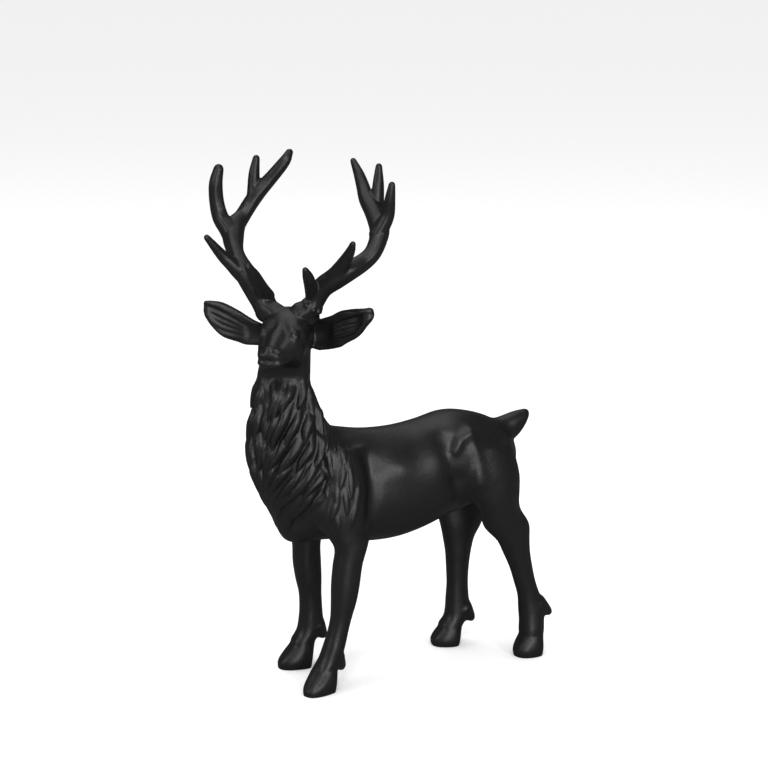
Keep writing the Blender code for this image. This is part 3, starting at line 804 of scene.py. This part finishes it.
def place(mesh, points):
    mesh.vertices.foreach_set("co", (points * MM).astype(np.float32).ravel())
    mesh.update()


def soften(made, amount, reach):
    """Smooths over about reach mm, where amount is 1."""
    group = made.vertex_groups.new(name="soft")
    for level in range(1, 21):
        chosen = np.flatnonzero(np.round(amount * 20) == level)
        group.add(chosen.tolist(), level / 20, "REPLACE")
    smooth = made.modifiers.new("soften", "SMOOTH")
    smooth.factor = 0.5
    smooth.iterations = round((2 * reach / VOXEL) ** 2)
    smooth.vertex_group = "soft"
    return as_mesh(made)


print(len(pieces), "closed forms to fuse")

# %% The plain body
TRUNK_SOFTNESS, LEAST_SOFT = 4.5, 0.06


def near_head(points, reach):
    """1 within reach of the middle of the head, fading to 0 six millimetres further out."""
    gap = np.linalg.norm(points - np.array(on_head(0, 12, -28)), axis=1)
    return smoothstep(reach + 6, reach, gap)


body = fused("body", pieces)
points = read(body.data, "co") / MM
plain = smoothstep(110, 130, points[:, 2]) * smoothstep(120, 112, points[:, 1])
plain *= 1 - np.maximum(near_head(points, 44), smoothstep(292, 300, points[:, 2]))
body = soften(body, LEAST_SOFT + (1 - LEAST_SOFT) * plain, TRUNK_SOFTNESS)
print("body of", len(body.data.vertices), "vertices, smoothed over", TRUNK_SOFTNESS, "mm")

# %% [markdown]
# ## Carving
# The muscles, the face and the hooves are carved as strokes: a line, a width and a height that is
# above zero for a swelling and below zero for a hollow. Each vertex moves along its normal by what
# the strokes near it add up to, just as a sculptor's wax tool would.

# %% Distance to a stroke


def nearest_on_line(points, line):
    """How far each point is from a broken line, and how far along the line its nearest place is."""
    distance = np.full(len(points), np.inf)
    share = np.zeros(len(points))
    for i, (start, end) in enumerate(zip(line, line[1:])):
        way = end - start
        t = np.clip((points - start) @ way / (way @ way), 0, 1)
        length = np.linalg.norm(points - (start + t[:, None] * way), axis=1)
        closer = length < distance
        distance[closer] = length[closer]
        share[closer] = (i + t[closer]) / (len(line) - 1)
    return distance, share


def bump(distance, width):
    return np.exp(-((distance / width) ** 2))


print("a bump keeps", round(float(bump(1.0, 1.0)), 2), "of its height at its width")

# %% Muscles
# height, width, then y and z along the stroke
FLANK_STROKES = (
    (-3.2, 6.5, ((-52, 211), (-42, 206), (-33, 197), (-27, 184), (-26, 166), (-28, 150), (-34, 134))),
    (2.2, 12, ((-50, 192), (-45, 172), (-45, 150))),
    (-2.6, 3.6, ((-66, 222), (-67, 202), (-65, 177), (-72, 161), (-81, 146), (-86, 138))),
    (2.6, 13, ((-5, 181), (-2, 180))),
    (-0.9, 18, ((26, 190), (28, 166))),
    (-3.6, 9, ((42, 196), (45, 182), (49, 164))),
    (-1.8, 6, ((52, 164), (54, 152), (60, 142))),
    (3.4, 3.6, ((49, 189), (55, 197), (65, 201))),
    (2.2, 5.2, ((65, 200), (67, 188), (69, 176), (70, 160))),
    (-2.4, 7, ((82, 205), (90, 199), (97, 192))),
    (-1.4, 6, ((104, 150), (108, 136), (112, 124))),
)
# y, and how far the right legs stand ahead of the left ones there
STRIDE = ((-60, -7), (0, 0), (60, -10))


def flank_relief(points, normals):
    shift = np.interp(points[:, 1], *zip(*STRIDE)) * smoothstep(195, 150, points[:, 2])
    plan = points[:, 1:].copy()
    plan[:, 0] -= np.where(points[:, 0] < 0, shift, 0)
    relief = np.zeros(len(points))
    for height, width, line in FLANK_STROKES:
        distance, _ = nearest_on_line(plan, np.array(line, float))
        relief += height * bump(distance, width)
    facing = np.abs(normals[:, 0]) * np.sign(normals[:, 0] * points[:, 0])
    return relief * smoothstep(0.1, 0.45, facing)


print(len(FLANK_STROKES), "strokes on each flank")

# %% Face
# height, width, then side, forward and up from the poll along the stroke
FACE_STROKES = (
    (-2.2, 4.4, ((5.4, 25.2, -11.6), (9.0, 30.8, -18.2), (7.4, 38, -23.5))),
    (1.0, 2.8, ((7.7, 23.5, -10.9), (11, 24.2, -14.3))),
    (1.1, 2.6, ((13.1, 19.5, -12.1), (15.1, 19.2, -14.8), (17.4, 18.1, -19.5))),
    (0.9, 2.6, ((-2.5, 44.4, -26.8), (2, 44.6, -27))),
    (-2.3, 1.6, ((4.6, 45.2, -28.2), (6.4, 43.6, -28.2))),
    (0.6, 1.6, ((6.4, 46.5, -30.8), (7.8, 43.8, -29), (6.6, 42.4, -26.6))),
    (-1.3, 1.5, ((0, 47.9, -35.6), (5.7, 47.8, -35.4), (9.6, 45, -35.4), (12.4, 41, -36), (14, 36, -36.6))),
    (1.7, 4.0, ((18.2, 21, -32), (17.4, 20, -40), (13.8, 18.4, -46))),
    (-0.5, 5, ((15.4, 33, -28), (15.5, 31, -35))),
    (-2.4, 5, ((20, -2, -14), (22, -3, -22))),
    (-2.6, 7.5, ((-8, 25, -54), (0, 25.5, -54), (13, 20.5, -55))),
)


def face_relief(points):
    relief = np.zeros(len(points))
    near = np.linalg.norm(points - on_head(0, 18, -28), axis=1) < 48
    for height, width, line in FACE_STROKES:
        for side in (LEFT, RIGHT):
            spots = np.array([on_head(side * out, ahead, up) for out, ahead, up in line])
            distance, _ = nearest_on_line(points[near], spots)
            relief[near] += height * bump(distance, width)
    return relief


print(len(FACE_STROKES), "strokes on each half of the face")

# %% Ears and hooves
# height, and the place across the ear where the ridge ends
EAR_STROKES = ((1.6, -0.95), (2.2, -0.5), (2.4, -0.08), (2.4, 0.36), (1.8, 0.95))
EAR_STROKE_WIDTH = 1.6
EAR_STROKE_SHARE = {LEFT: 1.3, RIGHT: 0.8}
CLEFT_DEPTH, CLEFT_WIDTH, CORONET_DEPTH = 1.3, 2.0, 0.35


def ear_relief(points, normals):
    relief = np.zeros(len(points))
    inner = smoothstep(0.2, 0.6, normals @ np.array(HEAD_FORWARD))
    for side in (LEFT, RIGHT):
        stations = spline(EARS[side], 2)[5:-1]
        near = np.linalg.norm(points - on_head(side * 45, 3, -18), axis=1) < 42
        for height, t in EAR_STROKES:
            fan = t * np.linspace(0.55, 1, len(stations))
            line = [on_ear(side, station, at, EAR_THICKNESS / 2) for station, at in zip(stations, fan)]
            distance, share = nearest_on_line(points[near], np.array(line))
            ends = smoothstep(0, 0.15, share) * smoothstep(1, 0.8, share)
            ridge = EAR_STROKE_SHARE[side] * height * bump(distance, EAR_STROKE_WIDTH)
            relief[near] += ridge * ends * inner[near]
    return relief


def hoof_relief(points):
    relief = np.zeros(len(points))
    for stations, splay, _, toe_reach, _ in LEGS:
        top, x, y = stations[-1][:3]
        ahead = np.array((math.sin(splay), -math.cos(splay), 0))
        foot = np.array((x, y, 0))
        near = np.linalg.norm(points - foot - ahead * 6, axis=1) < 34
        cleft = []
        for z, _, toe, _ in HOOF:
            rise = max(z, 0) * top / HOOF_DROP
            reach = toe + toe_reach * float(smoothstep(HOOF_DROP, 0, z))
            cleft.append(foot + ahead * reach + np.array((0, 0, rise)))
        distance, _ = nearest_on_line(points[near], np.array(cleft))
        relief[near] -= CLEFT_DEPTH * bump(distance, CLEFT_WIDTH)
        forward = (points[near] - foot) @ ahead
        step = top - 0.25 * forward - points[near][:, 2]
        relief[near] -= CORONET_DEPTH * bump(step, CLEFT_WIDTH)
    return relief


print(len(EAR_STROKES), "ridges in each ear")

# %% Carve the body
points = read(body.data, "co") / MM
normals = read(body.data, "normal")
relief = flank_relief(points, normals) + face_relief(points) + ear_relief(points, normals)
relief += hoof_relief(points)
place(body.data, points + normals * relief[:, None])
print("carved from", relief.min().round(1), "to", relief.max().round(1), "mm")

# %% [markdown]
# ## Eyes
# The features that stand out from the face are small solids laid into it: a ball for each eye, and
# swept rods for its lids. They catch the light as crisp points, which is what makes a dark face
# readable from a distance.

# %% Eyes
# side, forward, up and radius, along each rod
UPPER_LID = (
    (11.4, 29.0, -20.0, 0.6),
    (13.4, 26.6, -16.0, 0.8),
    (16.2, 23.0, -16.3, 0.8),
    (18.0, 20.0, -20.4, 0.6),
)
LOWER_LID = (
    (11.4, 29.2, -20.8, 0.6),
    (14.2, 28.0, -24.6, 0.8),
    (17.0, 23.8, -24.4, 0.8),
    (18.1, 20.2, -21.4, 0.6),
)
EYEBALL = (13.3, 24.8, -20.2, 4.0)


def eye_pieces(side):
    rods = []
    for rod in (UPPER_LID, LOWER_LID):
        rods.append([(*on_head(side * out, ahead, up), radius) for out, ahead, up, radius in spline(rod, 5)])
    out, ahead, up, radius = EYEBALL
    return [ball(on_head(side * out, ahead, up), radius), swept("lids", rods, 1, 0.0, 16)]


details = eye_pieces(LEFT) + eye_pieces(RIGHT)
print("two eyes with lids")

# %% The second casting
SKIN_SOFTNESS, CRISP_SHARE = 1.2, 0.2
FORK_REACH, FORK_SOFTNESS = 16, 2.6
stag = fused("stag_casting", [body, *antlers, *details])
points = read(stag.data, "co") / MM


def near_forks(points, reach):
    """1 at the forks of the antlers, fading to 0 at reach."""
    share = np.zeros(len(points))
    for side, forks in FORKS.items():
        for out, ahead, up in forks:
            gap = np.linalg.norm(points - np.array(on_head(side * out, ahead, up)), axis=1)
            share = np.maximum(share, smoothstep(reach, reach * 0.5, gap))
    return share


crisp = smoothstep(POLL[2] - 60, POLL[2] - 50, points[:, 2])
stag = soften(stag, 1 - (1 - CRISP_SHARE) * crisp, SKIN_SOFTNESS)
stag = soften(stag, near_forks(read(stag.data, "co") / MM, FORK_REACH), FORK_SOFTNESS)
print("second skin:", len(stag.data.vertices), "vertices")

# %% [markdown]
# ## The mane
# Each lock is a leaf carved on the neck. It rises out of the skin at its root, swings towards the
# parting as it falls, and ends in a point that stands over the roots of the row below, as tiles do on
# a roof. The parting turns with the head at the throat and runs nearly straight down at the breast.
# Where leaves overlap, the higher one wins, and what no leaf covers stays as a dark gap.

# %% Where the locks run
MANE_TOP, MANE_BOTTOM = 256.0, 134.0
LOCK_PITCH, LOCK_LENGTH, LOCK_HALF, ROW_PITCH = 11.0, 34.0, 4.7, 23.0
# how deep the gaps lie, how high a lock stands, and the strands combed into it
GAP_DEPTH, CREST, COMB = 3.2, 1.9, 0.1
# how fast locks swing towards the parting, in radians a millimetre
SWING = 0.017
# z, degrees to the animal's left
PARTING = ((134, 10), (174, 22), (213, 39), (245, 59), (270, 66))
# z, how far back the mane reaches as a y
MANE_EDGE = ((138, -86), (146, -81), (161, -72), (177, -66), (202, -68), (224, -62), (250, -40))


def around_neck(points):
    """Angle from the parting at each point, and the neck's mean radius at its height."""
    rows = np.array(NECK, float)[::-1]
    z = points[:, 2]
    x, front, back, half_width = (np.interp(z, rows[:, 0], rows[:, i]) for i in (1, 2, 3, 4))
    half_depth = (back - front) / 2
    turn = np.arctan2((points[:, 0] - x) / half_width, (front + half_depth - points[:, 1]) / half_depth)
    return turn - np.radians(np.interp(z, *zip(*PARTING))), (half_width + half_depth) / 2


def lean(angle):
    """How fast a lock swings towards the parting as it falls, in radians a millimetre."""
    away = abs(angle)
    fall = float(smoothstep(0, 0.25, away) * (1 - 0.8 * smoothstep(1.2, 2.2, away)))
    return math.copysign(SWING * fall, angle)


def leaf(distance, share, half_width, crest):
    """Height of a lock over the skin, from its distance to the middle line and its place along it."""
    half = half_width * np.sin(math.pi * (0.16 + 0.81 * share)) ** 0.8
    across = np.clip(distance / half, 0, 1)
    rise = (GAP_DEPTH + crest) * smoothstep(-0.1, 0.45, share) * (1 - 0.4 * share**3)
    comb = COMB * np.cos(3 * math.pi * across) * smoothstep(0.1, 0.4, share)
    return (rise + comb) * (1 - across**2) ** 0.7 - GAP_DEPTH


def lock_line(angle, z, length, wave):
    line = [(angle, z)]
    steps = 8
    for step in range(steps):
        curl = 0.006 * math.sin(2.4 * math.pi * step / steps + 3 * wave)
        angle -= (lean(angle) + curl) * length / steps
        z -= length / steps
        line.append((angle, z))
    return np.array(line)


def mane_relief(points):
    turns, radii = around_neck(points)
    relief = np.full(len(points), -GAP_DEPTH)
    made = 0
    for row in range(int((MANE_TOP - MANE_BOTTOM) / ROW_PITCH) + 2):
        z = MANE_TOP + 6 - row * ROW_PITCH
        _, (radius,) = around_neck(np.array(((0, -90, z),)))
        count = max(12, round(2 * math.pi * radius / LOCK_PITCH))
        for i in range(count):
            wave = math.sin(12.9 * row + 4.1 * i)
            angle = 2 * math.pi * (i + 0.5 * (row % 2) + 0.1 * wave) / count - math.pi
            length = LOCK_LENGTH * (1 + 0.2 * math.sin(7.7 * i + 2.3 * row))
            line = lock_line(angle, z + 3 * wave, length, wave)
            beside = (turns - angle + math.pi) % (2 * math.pi) - math.pi
            beyond = line[:, 0] - angle
            near = (points[:, 2] < line[0, 1] + 5) & (points[:, 2] > line[-1, 1] - 5)
            near &= (beside > beyond.min() - 0.4) & (beside < beyond.max() + 0.4)
            plan = np.column_stack((beside[near] * radii[near], points[near, 2]))
            path = np.column_stack((beyond * radius, line[:, 1]))
            distance, share = nearest_on_line(plan, path)
            half = LOCK_HALF * (1 + 0.14 * math.sin(3.1 * i + row))
            relief[near] = np.maximum(relief[near], leaf(distance, share, half, CREST + 0.7 * wave))
            made += 1
    print(made, "locks in the mane")
    return relief


def mane_share(points):
    """1 on the mane, fading to 0 at its edges."""
    z = points[:, 2]
    behind = smoothstep(3, -1, points[:, 1] - np.interp(z, *zip(*MANE_EDGE)))
    heights = smoothstep(MANE_BOTTOM - 12, MANE_BOTTOM + 4, z) * smoothstep(MANE_TOP + 8, MANE_TOP - 12, z)
    quiet = 0.4 + 0.6 * smoothstep(148, 190, z)
    return behind * heights * quiet


points = read(stag.data, "co") / MM
normals = read(stag.data, "normal")
share = mane_share(points)
haired = np.flatnonzero(share > 0)
relief = np.zeros(len(points))
relief[haired] = mane_relief(points[haired]) * share[haired]

# %% [markdown]
# ## Tufts on the shoulder
# Below the withers the mane breaks up into short tufts. They are the same leaves, drawn on the side
# view of the shoulder.

# %% Tufts
TUFT_ROWS, TUFT_COLUMNS = 5, 3
TUFT_ROW_PITCH, TUFT_PITCH = 15.0, 8.0
TUFT_HALF, TUFT_LENGTH, TUFT_CREST = 2.8, 20.0, 0.4
WITHERS, TUFT_FRONT = 220.0, -64.0
TUFT_SHARE = 0.6
SHOULDER_LOW, SHOULDER_HIGH = np.array((-200, -80, 120)), np.array((200, -20, 232))


def tuft_relief(points, normals):
    plan = points[:, 1:]
    relief = np.full(len(points), -GAP_DEPTH)
    for row in range(TUFT_ROWS):
        for i in range(TUFT_COLUMNS):
            wave = math.sin(5.3 * row + 8.9 * i)
            y = TUFT_FRONT + TUFT_PITCH * (i + 0.5 * (row % 2)) + 2.4 * wave
            z = WITHERS - TUFT_ROW_PITCH * row + 6 * wave - 3 * i
            steps = np.linspace(0, 1, 6)
            sway = 1.6 * np.sin(2.6 * steps + 2 * wave) - 2 * steps
            line = np.column_stack((y + sway, z - TUFT_LENGTH * steps))
            distance, share = nearest_on_line(plan, line)
            relief = np.maximum(relief, leaf(distance, share, TUFT_HALF, TUFT_CREST - GAP_DEPTH * 0.5))
    facing = smoothstep(0.1, 0.45, np.abs(normals[:, 0]))
    return (relief + GAP_DEPTH) * facing * TUFT_SHARE


shoulder = np.flatnonzero(((points > SHOULDER_LOW) & (points < SHOULDER_HIGH)).all(axis=1))
relief[shoulder] += tuft_relief(points[shoulder], normals[shoulder]) * (1 - share[shoulder])
place(stag.data, points + normals * relief[:, None])
print("hair carved from", relief.min().round(1), "to", relief.max().round(1), "mm")

# %% Cut the soles flat and move the figure over the origin


def stand_flat(made):
    bm = bmesh.new()
    bm.from_mesh(made.data)
    everything = [*bm.verts, *bm.edges, *bm.faces]
    cut = bmesh.ops.bisect_plane(
        bm, geom=everything, plane_co=(0, 0, 0), plane_no=(0, 0, 1), clear_inner=True
    )
    rim = [item for item in cut["geom_cut"] if isinstance(item, bmesh.types.BMEdge)]
    bmesh.ops.holes_fill(bm, edges=rim)
    bm.to_mesh(made.data)
    bm.free()


def fewer(made, triangles):
    thin = made.modifiers.new("fewer", "DECIMATE")
    thin.ratio = min(1, triangles / (2 * len(made.data.polygons)))
    return as_mesh(made)


stand_flat(stag)
stag = fewer(stag, TRIANGLES)
points = read(stag.data, "co") / MM - MIDDLE
points = np.clip(points, CAD_LOW / MM, CAD_HIGH / MM)
place(stag.data, points)
stag.name = "stag_casting"
stag.data.shade_smooth()
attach(stag, "root")
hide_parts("stag")
print("finished skin:", len(stag.data.polygons), "faces")

# %% [markdown]
# ## Paint and iron
# The real surface is black satin paint over rough cast iron. Two things make it read as iron and not
# as plastic: fine sand grain that breaks up every highlight, and slow waves left by the mould. Both
# are heights, worked out in one shader group that gives out only a number; the Principled shader
# itself stays in the material.

# %% Shader groups


def shader_group(name, inputs, outputs):
    tree = bpy.data.node_groups.new(name, "ShaderNodeTree")
    for label, kind, value in inputs:
        made = tree.interface.new_socket(label, in_out="INPUT", socket_type=kind)
        if value is not None:
            made.default_value = value
    for label, kind in outputs:
        tree.interface.new_socket(label, in_out="OUTPUT", socket_type=kind)
    return tree, tree.nodes.new("NodeGroupInput"), tree.nodes.new("NodeGroupOutput")


def noise(tree, scale, detail, vector=None):
    made = tree.nodes.new("ShaderNodeTexNoise")
    made.inputs["Scale"].default_value = scale
    made.inputs["Detail"].default_value = detail
    if vector is not None:
        tree.links.new(vector, made.inputs["Vector"])
    return made.outputs["Fac"]


def sand_grain_group():
    """Height of the mould's sand grain and slow waves, in millimetres."""
    tree, given, result = shader_group(
        "Sand grain",
        (
            ("Place", "NodeSocketVector", None),
            ("Grain", "NodeSocketFloat", 0.15),
            ("Waves", "NodeSocketFloat", 0.30),
        ),
        (("Height", "NodeSocketFloat"),),
    )
    grain = math_node(tree, "MULTIPLY", noise(tree, 1300, 3, given.outputs["Place"]), given.outputs["Grain"])
    waves = math_node(tree, "MULTIPLY", noise(tree, 90, 2, given.outputs["Place"]), given.outputs["Waves"])
    tree.links.new(math_node(tree, "ADD", grain, waves), result.inputs["Height"])
    return tree


SAND_GRAIN = sand_grain_group()
print("shader groups ready")

# %% Black satin paint over iron
PAINT = (0.0048, 0.0048, 0.005, 1)
SMOOTHEST, ROUGHEST = 0.32, 0.44


def black_satin(material):
    material.use_nodes = True
    tree = material.node_tree
    coat = tree.nodes["Principled BSDF"]
    coat.inputs["Base Color"].default_value = PAINT
    coat.inputs["Specular IOR Level"].default_value = 0.5
    place_node = tree.nodes.new("ShaderNodeTexCoord")
    grain = tree.nodes.new("ShaderNodeGroup")
    grain.node_tree = SAND_GRAIN
    tree.links.new(place_node.outputs["Object"], grain.inputs["Place"])
    relief_node = tree.nodes.new("ShaderNodeBump")
    relief_node.inputs["Strength"].default_value = 1.0
    relief_node.inputs["Distance"].default_value = 0.001
    tree.links.new(grain.outputs["Height"], relief_node.inputs["Height"])
    tree.links.new(relief_node.outputs["Normal"], coat.inputs["Normal"])
    rough = tree.nodes.new("ShaderNodeMapRange")
    rough.inputs["To Min"].default_value = SMOOTHEST
    rough.inputs["To Max"].default_value = ROUGHEST
    tree.links.new(noise(tree, 140, 3, place_node.outputs["Object"]), rough.inputs["Value"])
    tree.links.new(rough.outputs["Result"], coat.inputs["Roughness"])


black_satin(IRON)
stag.data.materials.clear()
stag.data.materials.append(IRON)
print("painted", stag.name)

# %% [markdown]
# ## Floor and light
# Black paint shows nothing but reflections, so the room matters more than the lamps. The floor and
# the room are pale to the eye, but a dim room is what the paint mirrors, as if black screens stood
# round the stag just out of the picture. Against that, six softboxes draw the form: one for the ribs,
# one high near the camera for the face and the mane, a low one in front for legs and hooves, one for
# the ears, one overhead for the back, and a faint one behind for the antlers.

# %% Floor
MIRRORED_ROOM = 0.09


def pale_floor_material():
    made = bpy.data.materials.new("pale floor")
    made.use_nodes = True
    tree = made.node_tree
    pale = tree.nodes["Principled BSDF"]
    pale.inputs["Base Color"].default_value = (0.88, 0.88, 0.88, 1)
    pale.inputs["Roughness"].default_value = 1.0
    pale.inputs["Specular IOR Level"].default_value = 0.0
    dim = tree.nodes.new("ShaderNodeBsdfPrincipled")
    dim.inputs["Base Color"].default_value = (MIRRORED_ROOM, MIRRORED_ROOM, MIRRORED_ROOM, 1)
    dim.inputs["Roughness"].default_value = 1.0
    dim.inputs["Specular IOR Level"].default_value = 0.0
    seen = tree.nodes.new("ShaderNodeLightPath")
    either = tree.nodes.new("ShaderNodeMixShader")
    tree.links.new(seen.outputs["Is Glossy Ray"], either.inputs["Fac"])
    tree.links.new(pale.outputs["BSDF"], either.inputs[1])
    tree.links.new(dim.outputs["BSDF"], either.inputs[2])
    tree.links.new(either.outputs["Shader"], tree.nodes["Material Output"].inputs["Surface"])
    return made


def floor(half_side=20.0):
    bm = bmesh.new()
    bmesh.ops.create_grid(bm, x_segments=1, y_segments=1, size=half_side)
    made = mesh_object("studio_floor", bm)
    made.data.materials.append(pale_floor_material())
    return made


floor()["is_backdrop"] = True
print("floor laid")

# %% Lights


def softbox(name, azimuth, elevation, distance, size, power):
    """A square light that faces the stag. Azimuth turns from straight ahead towards its left."""
    a, e = math.radians(azimuth), math.radians(elevation)
    way = Vector((math.sin(a) * math.cos(e), -math.cos(a) * math.cos(e), math.sin(e)))
    lamp = bpy.data.lights.new(name, "AREA")
    lamp.shape = "SQUARE"
    lamp.size = size
    lamp.energy = power
    made = bpy.data.objects.new(name, lamp)
    bpy.context.scene.collection.objects.link(made)
    made.location = Vector((0, 0, 0.2)) + way * distance
    made.rotation_euler = (-way).to_track_quat("-Z", "Y").to_euler()
    return made


# azimuth and elevation in degrees, distance and size in metres, power in watts
SOFTBOXES = {
    "ribs": (99, 18, 2.2, 0.3, 12),
    "face": (62, 42, 2.4, 0.5, 16),
    "front": (73, 4, 2.2, 0.4, 11),
    "ears": (5, 20, 2.4, 0.5, 8),
    "overhead": (-40, 78, 2.4, 2.2, 21),
    "behind": (245, 48, 2.4, 1.2, 2.7),
}
for label, values in SOFTBOXES.items():
    softbox(label, *values)


def room():
    world = bpy.data.worlds.new("studio")
    bpy.context.scene.world = world
    world.use_nodes = True
    tree = world.node_tree
    pale = tree.nodes["Background"]
    pale.inputs["Color"].default_value = (1, 1, 1, 1)
    pale.inputs["Strength"].default_value = 1.0
    dim = tree.nodes.new("ShaderNodeBackground")
    dim.inputs["Color"].default_value = (1, 1, 1, 1)
    dim.inputs["Strength"].default_value = MIRRORED_ROOM
    seen = tree.nodes.new("ShaderNodeLightPath")
    either = tree.nodes.new("ShaderNodeMixShader")
    tree.links.new(seen.outputs["Is Glossy Ray"], either.inputs["Fac"])
    tree.links.new(pale.outputs["Background"], either.inputs[1])
    tree.links.new(dim.outputs["Background"], either.inputs[2])
    tree.links.new(either.outputs["Shader"], tree.nodes["World Output"].inputs["Surface"])


room()
bpy.context.scene.view_settings.view_transform = "Standard"
print(len(SOFTBOXES), "softboxes and a pale room")
